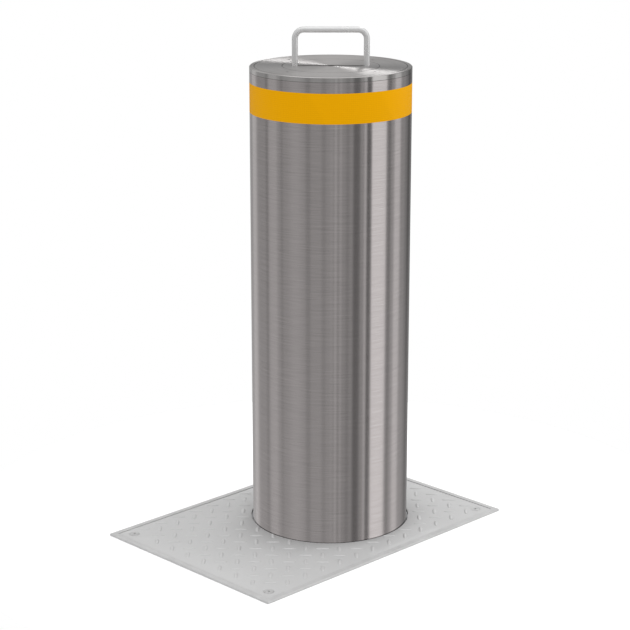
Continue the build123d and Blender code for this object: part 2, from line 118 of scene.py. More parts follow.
class Sock:
    """A node's output that takes part in shader arithmetic."""

    def __init__(self, graph: "Graph", socket: bpy.types.NodeSocket) -> None:
        """Wraps one output socket of a graph."""
        self.graph = graph
        self.socket = socket

    def __add__(self, other: Value) -> "Sock":
        """Sum."""
        return self.graph.math("ADD", self, other)

    __radd__ = __add__

    def __mul__(self, other: Value) -> "Sock":
        """Product."""
        return self.graph.math("MULTIPLY", self, other)

    __rmul__ = __mul__

    def __sub__(self, other: Value) -> "Sock":
        """Difference."""
        return self.graph.math("SUBTRACT", self, other)

    def __rsub__(self, other: Value) -> "Sock":
        """Difference from a number."""
        return self.graph.math("SUBTRACT", other, self)

    def __truediv__(self, other: Value) -> "Sock":
        """Quotient."""
        return self.graph.math("DIVIDE", self, other)

    def __gt__(self, other: Value) -> "Sock":
        """One where this is greater, otherwise zero."""
        return self.graph.math("GREATER_THAN", self, other)

    def __lt__(self, other: Value) -> "Sock":
        """One where this is less, otherwise zero."""
        return self.graph.math("LESS_THAN", self, other)

    def apply(self, operation: str, other: Value = 0.0) -> "Sock":
        """Any other Math operation on this value.

        Args:
            operation: the Math node's operation.
            other: its second value, where it has one.

        Returns:
            The result.
        """
        return self.graph.math(operation, self, other)

    def most(self, other: Value) -> "Sock":
        """The greater of two values."""
        return self.apply("MAXIMUM", other)

    def clamped(self) -> "Sock":
        """This value held between zero and one."""
        return self.apply("MAXIMUM", 0.0).apply("MINIMUM", 1.0)


class Graph:
    """Builds the nodes of one material or world."""

    def __init__(self, tree: bpy.types.NodeTree) -> None:
        """Starts from an empty tree."""
        tree.nodes.clear()
        self.tree = tree

    def node(
        self,
        kind: str,
        settings: Optional[Dict[str, Any]] = None,
        inputs: Optional[Dict[Union[str, int], Value]] = None,
    ) -> bpy.types.Node:
        """Adds one node.

        Args:
            kind: the node's type.
            settings: attributes that are set before the sockets.
            inputs: values or links, by the socket's name or number.

        Returns:
            The node.
        """
        made = self.tree.nodes.new(kind)
        for name, value in (settings or {}).items():
            setattr(made, name, value)
        for name, value in (inputs or {}).items():
            self.feed(made.inputs[name], value)
        return made

    def feed(self, target: bpy.types.NodeSocket, value: Value) -> None:
        """Links a wrapped socket or sets a plain value."""
        if isinstance(value, Sock):
            self.tree.links.new(value.socket, target)
        else:
            target.default_value = value

    def out(self, made: bpy.types.Node, name: Union[str, int] = 0) -> Sock:
        """Wraps a node's output."""
        return Sock(self, made.outputs[name])

    def math(self, operation: str, left: Value, right: Value = 0.0) -> Sock:
        """Adds a Math node.

        Args:
            operation: its operation.
            left: first value.
            right: second value.

        Returns:
            The result.
        """
        made = self.node("ShaderNodeMath", {"operation": operation}, {0: left})
        if len(made.inputs) > 1 and made.inputs[1].enabled:
            self.feed(made.inputs[1], right)
        return self.out(made)

    def place(self) -> Sock:
        """The shaded point in the piece's own coordinates."""
        return self.out(self.node("ShaderNodeTexCoord"), "Object")

    def axes(self, vector: Sock) -> Tuple[Sock, Sock, Sock]:
        """Splits a vector into X, Y and Z."""
        made = self.node("ShaderNodeSeparateXYZ", None, {0: vector})
        return self.out(made, 0), self.out(made, 1), self.out(made, 2)

    def vector(self, x: Value, y: Value, z: Value) -> Sock:
        """Joins three values into a vector."""
        return self.out(self.node("ShaderNodeCombineXYZ", None, {0: x, 1: y, 2: z}))

    def noise(self, vector: Sock, scale: float, detail: float = 3.0, rough: float = 0.55) -> Sock:
        """Smooth noise from zero to one.

        Args:
            vector: where it is read.
            scale: cycles per unit of the vector.
            detail: octaves.
            rough: weight of the finer octaves.

        Returns:
            The noise.
        """
        made = self.node(
            "ShaderNodeTexNoise", {"noise_dimensions": "3D"},
            {"Vector": vector, "Scale": scale, "Detail": detail, "Roughness": rough})
        return self.out(made, 0)

    def cells(self, vector: Sock, scale: float, output: str = "Distance") -> Sock:
        """Cell pattern, such as zinc spangle."""
        made = self.node(
            "ShaderNodeTexVoronoi", {"feature": "F1"}, {"Vector": vector, "Scale": scale})
        return self.out(made, output)

    def mix(self, factor: Value, first: Value, second: Value) -> Sock:
        """Blends two colours."""
        made = self.node("ShaderNodeMix", {"data_type": "RGBA"})
        self.feed(made.inputs[0], factor)
        self.feed(made.inputs[6], rgba(first))
        self.feed(made.inputs[7], rgba(second))
        return self.out(made, 2)

    def bump(self, height: Sock, strength: float, distance: float) -> Sock:
        """Normal of a height pattern."""
        made = self.node(
            "ShaderNodeBump", None, {"Strength": strength, "Distance": distance, "Height": height})
        return self.out(made)

    def principled(self, varying: Dict[str, Value], fixed: Dict[str, Value]) -> None:
        """Adds the surface shader and joins it to the output.

        Args:
            varying: linked or plain values of the sockets that may vary.
            fixed: plain values of all other sockets.
        """
        made = self.node("ShaderNodeBsdfPrincipled", None, {**fixed, **varying})
        output = self.node("ShaderNodeOutputMaterial")
        self.tree.links.new(made.outputs[0], output.inputs["Surface"])


def rgba(value: Value) -> Value:
    """A plain colour with its alpha, or the link unchanged."""
    if isinstance(value, Sock):
        return value
    return (*tuple(value)[:3], 1.0)


def near(value: Sock, place: float, reach: float) -> Sock:
    """One where a value is at a place, falling to zero a short way to each side."""
    return (1.0 - (value - place).apply("ABSOLUTE") / reach).clamped()


def window(apart: Sock, reach: float, softness: float) -> Sock:
    """One within a reach and zero past it, with a soft edge to each side of the reach."""
    return ((reach + softness - apart) / (2 * softness)).clamped()


def scaled(colour: Colour, gain: float) -> Colour:
    """A lighter or darker colour."""
    return (colour[0] * gain, colour[1] * gain, colour[2] * gain)


# ------------------------------------------------------------------ finishes


@dataclass(frozen=True)
class Finish:
    """A surface finish, made into one material."""

    slot: Slot
    colour: Colour
    roughness: float
    metallic: float = 1.0

    def build(self) -> bpy.types.Material:
        """Makes the material.

        Returns:
            The material, named after its slot.
        """
        material = bpy.data.materials.new("bollard_" + self.slot.value)
        material.use_nodes = True
        self.dress(Graph(material.node_tree))
        return material

    def dress(self, graph: Graph) -> None:
        """Adds the nodes of a plain worked metal: faint cloudy tone and small handling marks."""
        place = graph.place()
        cloud = graph.noise(place, 38.0)
        marks = graph.noise(place, 420.0, 2.0)
        tone = graph.mix(cloud, scaled(self.colour, 0.84), scaled(self.colour, 1.12))
        graph.principled(
            {"Base Color": tone,
             "Roughness": self.roughness + (marks - 0.5) * 0.16,
             "Normal": graph.bump(marks, 0.12, GRAIN_DEPTH)},
            {"Metallic": self.metallic})


@dataclass(frozen=True)
class BrushedTube(Finish):
    """Stainless tube, brushed round its axis by a belt."""

    seam_reach: float = 1.1 * MM
    gap_shade_depth: float = 45.0 * MM
    gap_shade_fade: float = 0.8 * MM

    def dress(self, graph: Graph) -> None:
        """Adds brush lines: noise drawn out round the tube and fine along it.

        A dark line marks the seam under the cap, and painted shade darkens the stretch that rests
        between the cover plate and the wiper, down in the gap.
        """
        x, y, z = graph.axes(graph.place())
        fine = graph.noise(graph.vector(x * 24.0, y * 24.0, z * 1100.0), 1.0, 2.0)
        lines = graph.noise(graph.vector(x * 16.0, y * 16.0, z * 640.0), 1.0, 3.0, 0.7)
        sweep = graph.noise(graph.vector(x * 6.0, y * 6.0, z * 40.0), 1.0, 2.0)
        mask = (fine * 0.5 + lines * 0.5 - 0.5) * 2.2 + 0.5
        tone = graph.mix(mask.clamped(), scaled(self.colour, 0.88), scaled(self.colour, 1.12))
        seam = near(z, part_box("post_tube")[1].z, self.seam_reach)
        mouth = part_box("cover_plate")[1].z
        # painted shade: the stretch of tube down in the gap below the cover plate's mouth goes dark
        gap_shade = ((mouth - z) / self.gap_shade_fade).clamped() * (z > mouth - self.gap_shade_depth)
        dark_joints_and_painted_shade = (seam * 0.8).most(gap_shade * 0.9)
        graph.principled(
            # base colour falls to near-black in the seam line and in the painted shade of the gap
            {"Base Color": graph.mix(dark_joints_and_painted_shade, tone, scaled(self.colour, 0.12)),
             "Roughness": self.roughness + (lines - 0.5) * 0.05 + (sweep - 0.5) * 0.03,
             "Normal": graph.bump(lines, 0.030, GRAIN_DEPTH)},
            {"Metallic": self.metallic, **ROUND_BRUSHING})


@dataclass(frozen=True)
class TurnedCap(Finish):
    """Stainless lid, faced in a lathe, so the lines run in circles, with dark joints and painted
    shade.
    """

    joints: Tuple[float, ...] = (81.65 * MM, 128.4 * MM)
    joint_reach: float = 1.3 * MM
    side_radius: float = 135.6 * MM
    side_roughness: float = 0.18
    groove_radius: float = 78.0 * MM
    mouth_shade_reach: float = 11.0 * MM
    groove_shade_lip: float = 1.0 * MM
    groove_shade_fade: float = 3.0 * MM

    def dress(self, graph: Graph) -> None:
        """Adds rings: noise that changes quickly with the radius and slowly with the angle.

        The joints between the plates are darker, and painted shade darkens the lock's mouth and all
        that lies low in the handle's groove.
        The outer wall is as fine as the tube that it continues.
        """
        x, y, z = graph.axes(graph.place())
        radius = (x * x + y * y).apply("SQRT")
        fine = graph.noise(graph.vector(radius * 1500.0, x * 9.0, y * 9.0), 1.0, 2.0)
        rings = graph.noise(graph.vector(radius * 380.0, x * 4.0, y * 4.0 + z), 1.0, 3.0, 0.7)
        mask = (fine * 0.4 + rings * 0.6 - 0.5) * 1.8 + 0.5
        tone = graph.mix(mask.clamped(), scaled(self.colour, 0.80), scaled(self.colour, 1.12))
        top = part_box("cap_plate")[1].z
        # painted shade: darker the lower a point lies in the handle's groove
        groove_shade = ((top - self.groove_shade_lip - z) / self.groove_shade_fade).clamped() * (radius < self.groove_radius)
        dark_joints_and_painted_shade = groove_shade * 0.85
        for joint in self.joints:
            dark_joints_and_painted_shade = dark_joints_and_painted_shade.most(near(radius, joint, self.joint_reach) * 0.75)
        # painted shade: a dark spot over the lock's mouth at the centre
        dark_joints_and_painted_shade = dark_joints_and_painted_shade.most(near(radius, 0.0, self.mouth_shade_reach))
        side = radius > self.side_radius
        graph.principled(
            {"Base Color": graph.mix(dark_joints_and_painted_shade, tone, scaled(self.colour, 0.10)),
             "Roughness": self.roughness - side * (self.roughness - self.side_roughness)
             + (rings - 0.5) * 0.10,
             "Normal": graph.bump(rings, 0.04, GRAIN_DEPTH)},
            {"Metallic": self.metallic, **ROUND_BRUSHING})


@dataclass(frozen=True)
class LockBrass(Finish):
    """Brass of the lock, with painted shade on the face that looks up through the groove."""

    face_shade_depth: float = 4.0 * MM
    face_shade_fade: float = 2.0 * MM

    def dress(self, graph: Graph) -> None:
        """Adds a drawn grain, and painted shade, varied by tarnish, on all that lies near the top of
        the lock.
        """
        x, y, z = graph.axes(graph.place())
        grain = graph.noise(graph.vector(x * 700.0, y * 700.0, z * 60.0), 1.0, 3.0)
        tarnish = graph.noise(graph.place(), 120.0, 4.0)
        tone = graph.mix(grain, scaled(self.colour, 0.85), scaled(self.colour, 1.08))
        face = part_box("lock_barrel")[1].z
        # painted shade: near-black on all within a few millimetres of the lock's top face, down in
        # its hole
        upper = ((z - face + self.face_shade_depth) / self.face_shade_fade).clamped()
        painted_face_shade = upper * (0.75 + tarnish * 0.25)
        graph.principled(
            {"Base Color": graph.mix(painted_face_shade, tone, scaled(self.colour, 0.05)),
             "Roughness": self.roughness + painted_face_shade * 0.3 + (tarnish - 0.5) * 0.2,
             "Normal": graph.bump(grain, 0.05, GRAIN_DEPTH)},
            {"Metallic": self.metallic})


@dataclass(frozen=True)
class SatinRod(Finish):
    """Bent stainless rod, polished to a satin by hand."""

    def dress(self, graph: Graph) -> None:
        """Adds short polishing lines at every height and a faint change of gloss."""
        x, y, z = graph.axes(graph.place())
        lines = graph.noise(graph.vector(x * 90.0, y * 90.0, z * 700.0), 1.0, 2.0)
        gloss = graph.noise(graph.place(), 45.0)
        tone = graph.mix(lines, scaled(self.colour, 0.94), scaled(self.colour, 1.04))
        graph.principled(
            {"Base Color": tone,
             "Roughness": self.roughness + (gloss - 0.5) * 0.08,
             "Normal": graph.bump(lines, 0.02, GRAIN_DEPTH)},
            {"Metallic": self.metallic})


@dataclass(frozen=True)
class TreadAlloy(Finish):
    """Rolled tread plate with a dull oxide skin, rubbed brighter on the crowns of its bars."""

    crown_low: float = 0.4 * MM
    crown_high: float = 1.2 * MM
    hole_radius: float = 139.9 * MM

    def dress(self, graph: Graph) -> None:
        """Adds rolling grain along the plate, a cloudy skin, worn crowns and painted shade on the
        hole's wall.
        """
        place = graph.place()
        x, y, z = graph.axes(place)
        grain = graph.noise(graph.vector(x * 60.0, y * 900.0, z * 60.0), 1.0, 3.0)
        cloud = graph.noise(place, 14.0, 4.0)
        pits = graph.noise(place, 900.0, 2.0)
        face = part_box("cover_plate")[1].z
        crown = ((z - face - self.crown_low) / (self.crown_high - self.crown_low)).clamped()
        shade = cloud * 0.6 + grain * 0.4
        skin = graph.mix(shade, scaled(self.colour, 0.92), scaled(self.colour, 1.06))
        worn = graph.mix(crown * 0.5, skin, scaled(self.colour, 1.06))
        radius = (x * x + y * y).apply("SQRT")
        # painted shade: the wall of the hole round the post is darkened to near-black
        wall = (radius < self.hole_radius) * (z < face - self.crown_low)
        graph.principled(
            {"Base Color": graph.mix(wall * 0.9, worn, scaled(self.colour, 0.1)),
             "Roughness": self.roughness - crown * 0.14 + (pits - 0.5) * 0.14,
             "Normal": graph.bump(pits * 0.5 + grain, 0.10, 0.0003)},
            {"Metallic": self.metallic})


@dataclass(frozen=True)
class ReflectiveFilm(Finish):
    """Yellow road film with square cells pressed into it, under a clear face."""

    cell: float = 3.2 * MM
    radius: float = 136.5 * MM

    def dress(self, graph: Graph) -> None:
        """Adds cell walls from the distance round and along the post, and small lens beads."""
        x, y, z = graph.axes(graph.place())
        around = graph.math("ARCTAN2", y, x) * (self.radius / self.cell)
        along = z * (1.0 / self.cell)
        wall = self.ridge(around).most(self.ridge(along))
        beads = graph.noise(graph.place(), 1600.0, 1.0)
        tone = graph.mix(wall * 0.75, self.colour, scaled(self.colour, 0.72))
        fleck = graph.mix(beads * 0.35, tone, scaled(self.colour, 1.15))
        graph.principled(
            {"Base Color": fleck,
             "Roughness": self.roughness + (beads - 0.5) * 0.12,
             "Normal": graph.bump(wall * -1.0 + beads * 0.4, 0.22, GRAIN_DEPTH)},
            {"Metallic": 0.0, "Specular IOR Level": 0.02})

    @staticmethod
    def ridge(value: Sock) -> Sock:
        """One near the walls of unit cells, and zero in their middle."""
        middle = (value.apply("FRACT") - 0.5).apply("ABSOLUTE")
        return ((middle - 0.40) * 10.0).clamped()


@dataclass(frozen=True)
class Galvanised(Finish):
    """Hot-dip zinc with its spangle."""

    spangle: float = 75.0

    def dress(self, graph: Graph) -> None:
        """Adds crystals from cells, each with a tone of its own, and runs of thicker zinc."""
        place = graph.place()
        crystal = graph.cells(place, self.spangle, "Color")
        tone_of, _, _ = graph.axes(crystal)
        runs = graph.noise(place, 9.0, 4.0)
        shade = tone_of * 0.65 + runs * 0.35
        tone = graph.mix(shade, scaled(self.colour, 0.72), scaled(self.colour, 1.22))
        graph.principled(
            {"Base Color": tone,
             "Roughness": self.roughness + (tone_of - 0.5) * 0.22,
             "Normal": graph.bump(graph.cells(place, self.spangle) + runs, 0.10, 2 * GRAIN_DEPTH)},
            {"Metallic": self.metallic})


@dataclass(frozen=True)
class Moulded(Finish):
    """Moulded rubber or plastic with a fine pebbled skin."""

    pebble: float = 1400.0

    def dress(self, graph: Graph) -> None:
        """Adds a pebbled skin and a dusty bloom in broad clouds."""
        place = graph.place()
        skin = graph.noise(place, self.pebble, 2.0)
        bloom = graph.noise(place, 22.0, 4.0)
        tone = graph.mix(bloom, scaled(self.colour, 0.85), scaled(self.colour, 1.20))
        graph.principled(
            {"Base Color": tone,
             "Roughness": self.roughness + (skin - 0.5) * 0.12,
             "Normal": graph.bump(skin, 0.20, GRAIN_DEPTH)},
            {"Metallic": 0.0})


FINISHES: Tuple[Finish, ...] = (
    BrushedTube(Slot.TUBE, (0.66, 0.615, 0.61), 0.18),
    TurnedCap(Slot.CAP, (0.68, 0.66, 0.65), 0.33),
    SatinRod(Slot.HANDLE, (0.90, 0.90, 0.90), 0.28, 0.72),
    Finish(Slot.SCREW, (0.52, 0.52, 0.52), 0.38, 0.35),
    TreadAlloy(Slot.TREAD, (0.465, 0.465, 0.465), 0.55, 0.10),
    Finish(Slot.FRAME, (0.45, 0.45, 0.45), 0.50, 0.10),
    ReflectiveFilm(Slot.BAND, (0.535, 0.250, 0.0), 0.45, 0.0),
    Galvanised(Slot.GALVANISED, (0.50, 0.52, 0.53), 0.42, 0.85),
    Finish(Slot.PLAIN, (0.46, 0.46, 0.47), 0.38),
    Finish(Slot.PAINT, (0.025, 0.025, 0.026), 0.42, 0.0),
    Finish(Slot.CHROME, (0.80, 0.80, 0.81), 0.10),
    Moulded(Slot.POLYMER, (0.72, 0.73, 0.69), 0.46, 0.0),
    Moulded(Slot.RUBBER, (0.022, 0.022, 0.023), 0.62, 0.0),
    Finish(Slot.BRONZE, (0.60, 0.38, 0.17), 0.36),
    LockBrass(Slot.BRASS, (0.66, 0.52, 0.26), 0.34),
)


# ------------------------------------------------------------------ surfaces


@dataclass
class Skin:
    """Vertices and faces of a surface under construction."""

    points: np.ndarray
    faces: List[Tuple[int, ...]]

    @staticmethod
    def joined(skins: Iterable["Skin"]) -> "Skin":
        """Several skins as one, each keeping its own vertices."""
        points: List[np.ndarray] = []
        faces: List[Tuple[int, ...]] = []
        start = 0
        for skin in skins:
            points.append(skin.points)
            faces.extend(tuple(start + i for i in face) for face in skin.faces)
            start += len(skin.points)
        return Skin(np.vstack(points), faces)

    def piece(self, name: str, crease: float = 30.0) -> bpy.types.Object:
        """Makes the object.

        Args:
            name: the piece's name.
            crease: edges that turn by more than this many degrees stay sharp.

        Returns:
            The object, at the origin and smooth away from its creases.
        """
        mesh = bpy.data.meshes.new(name)
        mesh.from_pydata(self.points.tolist(), [], self.faces)
        mesh.polygons.foreach_set("use_smooth", np.ones(len(mesh.polygons), bool))
        mesh.set_sharp_from_angle(angle=math.radians(crease))
        mesh.update()
        made = bpy.data.objects.new(name, mesh)
        bpy.context.scene.collection.objects.link(made)
        return made


def grid_faces(rows: int, columns: int, wrap_rows: bool,
               wrap_columns: bool) -> List[Tuple[int, ...]]:
    """Quads of a grid of points.

    Args:
        rows: points down.
        columns: points across.
        wrap_rows: joins the last row to the first.
        wrap_columns: joins the last column to the first.

    Returns:
        Four corners for each quad, from index arithmetic on the whole grid.
    """
    down = np.arange(rows if wrap_rows else rows - 1)
    across = np.arange(columns if wrap_columns else columns - 1)
    i, j = np.meshgrid(down, across, indexing="ij")
    next_i, next_j = (i + 1) % rows, (j + 1) % columns
    this, following = i * columns, next_i * columns
    quads = np.stack([this + j, this + next_j, following + next_j, following + j], -1)
    return [tuple(quad) for quad in quads.reshape(-1, 4).tolist()]


def rounded(corners: Sequence[Tuple[float, float]], radius: float, steps: int = 3) -> np.ndarray:
    """Closed outline whose corners are cut by short arcs.

    Each corner P between neighbours A and B becomes the quadratic curve from P + r(A-P)/|A-P| to
    P + r(B-P)/|B-P| with P as its control point.

    Args:
        corners: the outline's corners in order.
        radius: how far each arc starts from its corner.
        steps: segments of each arc.

    Returns:
        The points of the rounded outline.
    """
    point = np.asarray(corners, float)
    to_before = np.roll(point, 1, 0) - point
    to_after = np.roll(point, -1, 0) - point
    before = point + radius * to_before / np.linalg.norm(to_before, axis=1, keepdims=True)
    after = point + radius * to_after / np.linalg.norm(to_after, axis=1, keepdims=True)
    t = np.linspace(0.0, 1.0, steps + 1)[None, :, None]
    ends = (1 - t) ** 2 * before[:, None] + t ** 2 * after[:, None]
    return (ends + 2 * t * (1 - t) * point[:, None]).reshape(-1, 2)


def lathe(profile: np.ndarray, segments: int) -> Skin:
    """Ring turned from a closed profile of radius and height.

    The point at turn a and profile place (r, z) is (r cos a, r sin a, z).

    Args:
        profile: closed outline that runs anticlockwise, with the axis on its left.
        segments: steps round the axis.

    Returns:
        A closed skin that faces outwards.
    """
    turn = np.linspace(0.0, 2 * np.pi, segments, endpoint=False)[:, None]
    radius, height = profile[None, :, 0], profile[None, :, 1]
    points = np.stack([radius * np.cos(turn), radius * np.sin(turn), height + 0 * turn], -1)
    return Skin(points.reshape(-1, 3), grid_faces(segments, len(profile), True, True))


def swept(route: np.ndarray, radius: float, side: np.ndarray, segments: int = 24) -> Skin:
    """Round bar along a route that lies in one plane, with its ends closed.

    At each point the circle is spanned by the plane's normal and by that normal crossed with the
    tangent: P + r(cos a * side + sin a * side x tangent).

    Args:
        route: points of the centre line.
        radius: the bar's radius.
        side: unit normal of the route's plane.
        segments: points round the bar.

    Returns:
        A closed skin.
    """
    tangent = np.gradient(route, axis=0)
    tangent /= np.linalg.norm(tangent, axis=1, keepdims=True)
    other = np.cross(side[None, :], tangent)
    a = np.linspace(0.0, 2 * np.pi, segments, endpoint=False)[None, :, None]
    circle = np.cos(a) * side[None, None, :] + np.sin(a) * other[:, None, :]
    points = (route[:, None, :] + radius * circle).reshape(-1, 3)
    faces = grid_faces(len(route), segments, False, True)
    last = (len(route) - 1) * segments
    faces.append(tuple(range(segments))[::-1])
    faces.append(tuple(range(last, last + segments)))
    return Skin(points, [face[::-1] for face in faces])


def arc(centre: Sequence[float], radius: float, start: float, end: float,
        steps: int) -> np.ndarray:
    """Points on a circular arc in a plane, between two angles in degrees."""
    a = np.radians(np.linspace(start, end, steps))
    return np.stack([centre[0] + radius * np.cos(a), centre[1] + radius * np.sin(a)], -1)


def between(inner: np.ndarray, outer: np.ndarray, bottom: float, top: float, edge: float) -> Skin:
    """Plate between two outlines that have as many points each, with softened top edges.

    Each row of the closed section is a blend of the outlines: up the inner wall, over its softened
    edge, across the top, over the outer edge, down the outer wall and back under.

    Args:
        inner: the hole's outline.
        outer: the plate's outline.
        bottom: underside.
        top: upper face.
        edge: size of the softened edges.

    Returns:
        A closed skin.
    """
    span = np.linalg.norm(outer - inner, axis=1, keepdims=True)
    share = edge / span
    soft = 0.3 * share
    rows = [
        (0 * share, bottom), (0 * share, top - edge), (soft, top - 0.3 * edge), (share, top),
        (0.35 + 0 * share, top), (0.7 + 0 * share, top),
        (1 - share, top), (1 - soft, top - 0.3 * edge), (1 + 0 * share, top - edge),
        (1 + 0 * share, bottom)]
    flat = [inner * (1 - part) + outer * part for part, _ in rows]
    points = np.stack(
        [np.column_stack([xy, np.full(len(xy), z)]) for xy, (_, z) in zip(flat, rows)], 0)
    faces = grid_faces(len(rows), len(inner), True, True)
    return Skin(points.reshape(-1, 3), faces)


def rectangle_by_angle(low: Vector, high: Vector, angles: np.ndarray) -> np.ndarray:
    """Points where rays from the origin at the given angles meet a rectangle round it.

    Along a ray (cos a, sin a) the wall is met at the smaller of the distances to the X wall and to
    the Y wall that the ray faces.
    """
    c, s = np.cos(angles), np.sin(angles)
    with np.errstate(divide="ignore"):
        to_x = np.where(c > 0, high.x / c, low.x / c)
        to_y = np.where(s > 0, high.y / s, low.y / s)
    reach = np.minimum(np.where(to_x > 0, to_x, np.inf), np.where(to_y > 0, to_y, np.inf))
    return np.stack([reach * c, reach * s], -1)


def spread_angles(low: Vector, high: Vector) -> np.ndarray:
    """Evenly spread angles, in order, with those of a rectangle's four corners among them."""
    corners = [math.atan2(y, x) for x in (low.x, high.x) for y in (low.y, high.y)]
    even = np.linspace(-np.pi, np.pi, 180, endpoint=False)
    clear = [a for a in even if min(abs(a - c) for c in corners) > 0.006]
    return np.sort(np.concatenate([clear, corners]))


def settle(piece: bpy.types.Object, body: Body, finish: bpy.types.Material, slot: Slot,
           *nodes: str) -> None:
    """Gives a new piece its finish and its body, and hides the nodes that it stands for.

    A piece of the casing is left out of reflections, like the rest of the casing.
    """
    piece.data.materials.append(finish)
    piece.visible_glossy = body is not Body.CASING
    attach(piece, body.value)
    if nodes:
        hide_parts(*nodes)
    LOG.info("%s rides on %s, %d faces", piece.name, body.value, len(piece.data.polygons))


def outward(piece: bpy.types.Object) -> bpy.types.Object:
    """Merges doubled points and turns every face of a closed piece outwards.

    Args:
        piece: the object, which stays at the origin.

    Returns:
        The same object.

    Raises:
        ValueError: where an edge doesn't join exactly two faces.
    """
    work = bmesh.new()
    work.from_mesh(piece.data)
    bmesh.ops.remove_doubles(work, verts=work.verts, dist=DOUBLES)
    bare = [edge for edge in work.edges if not edge.link_faces]
    bmesh.ops.delete(work, geom=bare, context="EDGES")
    bmesh.ops.recalc_face_normals(work, faces=work.faces)
    loose = sum(not edge.is_manifold for edge in work.edges)
    work.to_mesh(piece.data)
    work.free()
    piece.data.update()
    if loose:
        raise ValueError(f"{piece.name} has {loose} open edges")
    return piece


def carve(piece: bpy.types.Object, cutter: bpy.types.Object, crease: float) -> None:
    """Cuts a closed piece with another one, which is used up.

    Args:
        piece: what is cut.
        cutter: what is taken away.
        crease: edges that turn by more than this many degrees stay sharp.
    """
    cut = piece.modifiers.new("cut", "BOOLEAN")
    cut.operation, cut.object, cut.solver = "DIFFERENCE", cutter, "EXACT"
    depsgraph = bpy.context.evaluated_depsgraph_get()
    mesh = bpy.data.meshes.new_from_object(piece.evaluated_get(depsgraph))
    piece.modifiers.clear()
    piece.data = mesh
    outward(piece)
    mesh.polygons.foreach_set("use_smooth", np.ones(len(mesh.polygons), bool))
    mesh.set_sharp_from_angle(angle=math.radians(crease))
    bpy.data.objects.remove(cutter)


# ------------------------------------------------------------------ the bollard


@dataclass
class Post:
    """The steel tube and its reflective band."""

    finishes: Dict[Slot, bpy.types.Material]
    wall: float = 6.0 * MM
    segments: int = 240
    edge: float = 0.7 * MM
    recess: float = 0.4 * MM
    film_edge: float = 0.12 * MM
    bolt_radius: float = 12.5 * MM
    drill_reach: float = 200.0 * MM

    def build(self) -> None:
        """Makes the tube with its recess and its bolt holes, and the band in the recess."""
        low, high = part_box("post_tube")
        band_low, band_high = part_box("reflective_band")
        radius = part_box("cap_base")[1].x
        self.tube(radius, low.z, high.z, band_low.z, band_high.z)
        self.band(radius, band_low.z, band_high.z)

    def tube(self, radius: float, bottom: float, top: float, band_low: float,
             band_high: float) -> None:
        """Turns the tube from its wall's profile and drills the two holes of the lock bolts."""
        inner, floor = radius - self.wall, radius - self.recess
        rim = arc((radius - self.edge, top - self.edge), self.edge, 0.0, 90.0, 5)
        foot = arc((radius - self.edge, bottom + self.edge), self.edge, -90.0, 0.0, 5)
        heights = np.linspace(bottom + 0.1, band_low - 0.01, 9)
        wall = np.column_stack([np.full(9, radius), heights])
        recess = np.array([
            (radius, band_low), (floor, band_low), (floor, band_high), (radius, band_high)])
        bore = np.array([(inner, top), (inner, bottom)])
        profile = np.vstack([foot, wall, recess, rim, bore])
        piece = outward(lathe(profile, self.segments).piece("post_shell"))
        self.drill(piece, *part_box("bolt_a"))
        settle(piece, Body.POST, self.finishes[Slot.TUBE], Slot.TUBE, "post_tube")

    def drill(self, piece: bpy.types.Object, bolt_low: Vector, bolt_high: Vector) -> None:
        """Cuts the cross hole that both lock bolts pass through."""
        level = (bolt_low.z + bolt_high.z) / 2
        across = np.linspace(-self.drill_reach, self.drill_reach, 5)
        route = np.column_stack([np.zeros(5), across, np.full(5, level)])
        cutter = swept(route, self.bolt_radius, np.array([1.0, 0.0, 0.0]), 40)
        carve(piece, outward(cutter.piece("drill")), 30.0)

    def band(self, radius: float, low: float, high: float) -> None:
        """Turns the film, with rounded edges, to lie flush in its recess."""
        floor = radius - self.recess
        corners = [(floor, low), (radius, low), (radius, high), (floor, high)]
        film = lathe(rounded(corners, self.film_edge, 2), self.segments)
        piece = outward(film.piece("reflective_film"))
        settle(piece, Body.POST, self.finishes[Slot.BAND], Slot.BAND, "reflective_band")


@dataclass
class Handle:
    """The lifting handle: a round bar bent into a bail."""

    finishes: Dict[Slot, bpy.types.Material]
    radius: float = 5.0 * MM
    half: float = 60.0 * MM
    bend: float = 15.0 * MM

    def build(self) -> None:
        """Sweeps the bar up one leg, round two bends and down the other leg."""
        low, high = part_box("lift_handle")
        top = high.z - self.radius
        steps = 14
        left = arc((-self.half + self.bend, top - self.bend), self.bend, 180.0, 90.0, steps)
        right = arc((self.half - self.bend, top - self.bend), self.bend, 90.0, 0.0, steps)
        leg = np.linspace(low.z, top - self.bend, 8)[:-1]
        bar = np.linspace(-self.half + self.bend, self.half - self.bend, 10)[1:-1]
        flat = np.vstack([
            np.column_stack([np.full(len(leg), -self.half), leg]), left,
            np.column_stack([bar, np.full(len(bar), top)]), right,
            np.column_stack([np.full(len(leg), self.half), leg[::-1]])])
        along = np.array([1.0, -1.0]) * DIAGONAL
        route = np.column_stack([flat[:, :1] * along[None, :], flat[:, 1:]])
        side = np.array([1.0, 1.0, 0.0]) * DIAGONAL
        piece = outward(swept(route, self.radius, side, 28).piece("lifting_bail", 50.0))
        settle(piece, Body.HANDLE, self.finishes[Slot.HANDLE], Slot.HANDLE, "lift_handle")


